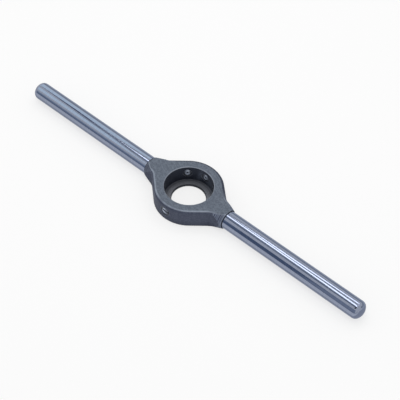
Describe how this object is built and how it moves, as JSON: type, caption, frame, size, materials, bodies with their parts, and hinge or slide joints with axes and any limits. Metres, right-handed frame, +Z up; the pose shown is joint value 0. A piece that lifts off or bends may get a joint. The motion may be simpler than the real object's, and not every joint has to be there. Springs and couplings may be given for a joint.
{
  "type": "die stock handle",
  "caption": "Stock for round threading dies: a ring with a recessed die seat, slotted grub screws round the seat and a plain rod handle on each side.",
  "frame": {"origin": "on the axis of the die seat, in the flat bottom face of the ring, which is the face the stock rests on", "axes": "+Z up along the axis of the die seat, out of its mouth; +X along the handles, towards handle_right; +Y towards the spreading screw"},
  "size_m": [0.22, 0.0356, 0.0105],
  "materials": {
    "cast_body": "dark blue-grey casting, top face ground, die seat and arm ends turned",
    "polished_rod": "turned and polished bright steel rod",
    "grub_screw_steel": "bright machined steel"
  },
  "bodies": {
    "stock": {"stock_body": "cast_body", "handle_left": "polished_rod", "handle_right": "polished_rod"},
    "spreading_screw": {"spreading_screw": "grub_screw_steel"},
    "clamping_screw_right": {"clamping_screw_right": "grub_screw_steel"},
    "clamping_screw_left": {"clamping_screw_left": "grub_screw_steel"},
    "locking_screw": {"locking_screw": "grub_screw_steel"}
  },
  "joints": [
    {"name": "spreading_screw_travel", "type": "slide", "parent": "stock", "child": "spreading_screw", "axis": [0, -1, 0], "range_m": [-0.0016, 0.0032]},
    {"name": "clamping_screw_right_travel", "type": "slide", "parent": "stock", "child": "clamping_screw_right", "axis": [-0.7071, -0.7071, 0], "range_m": [-0.0016, 0.0032]},
    {"name": "clamping_screw_left_travel", "type": "slide", "parent": "stock", "child": "clamping_screw_left", "axis": [0.7071, -0.7071, 0], "range_m": [-0.0016, 0.0032]},
    {"name": "locking_screw_travel", "type": "slide", "parent": "stock", "child": "locking_screw", "axis": [0, 1, 0], "range_m": [-0.0016, 0.0032]}
  ]
}
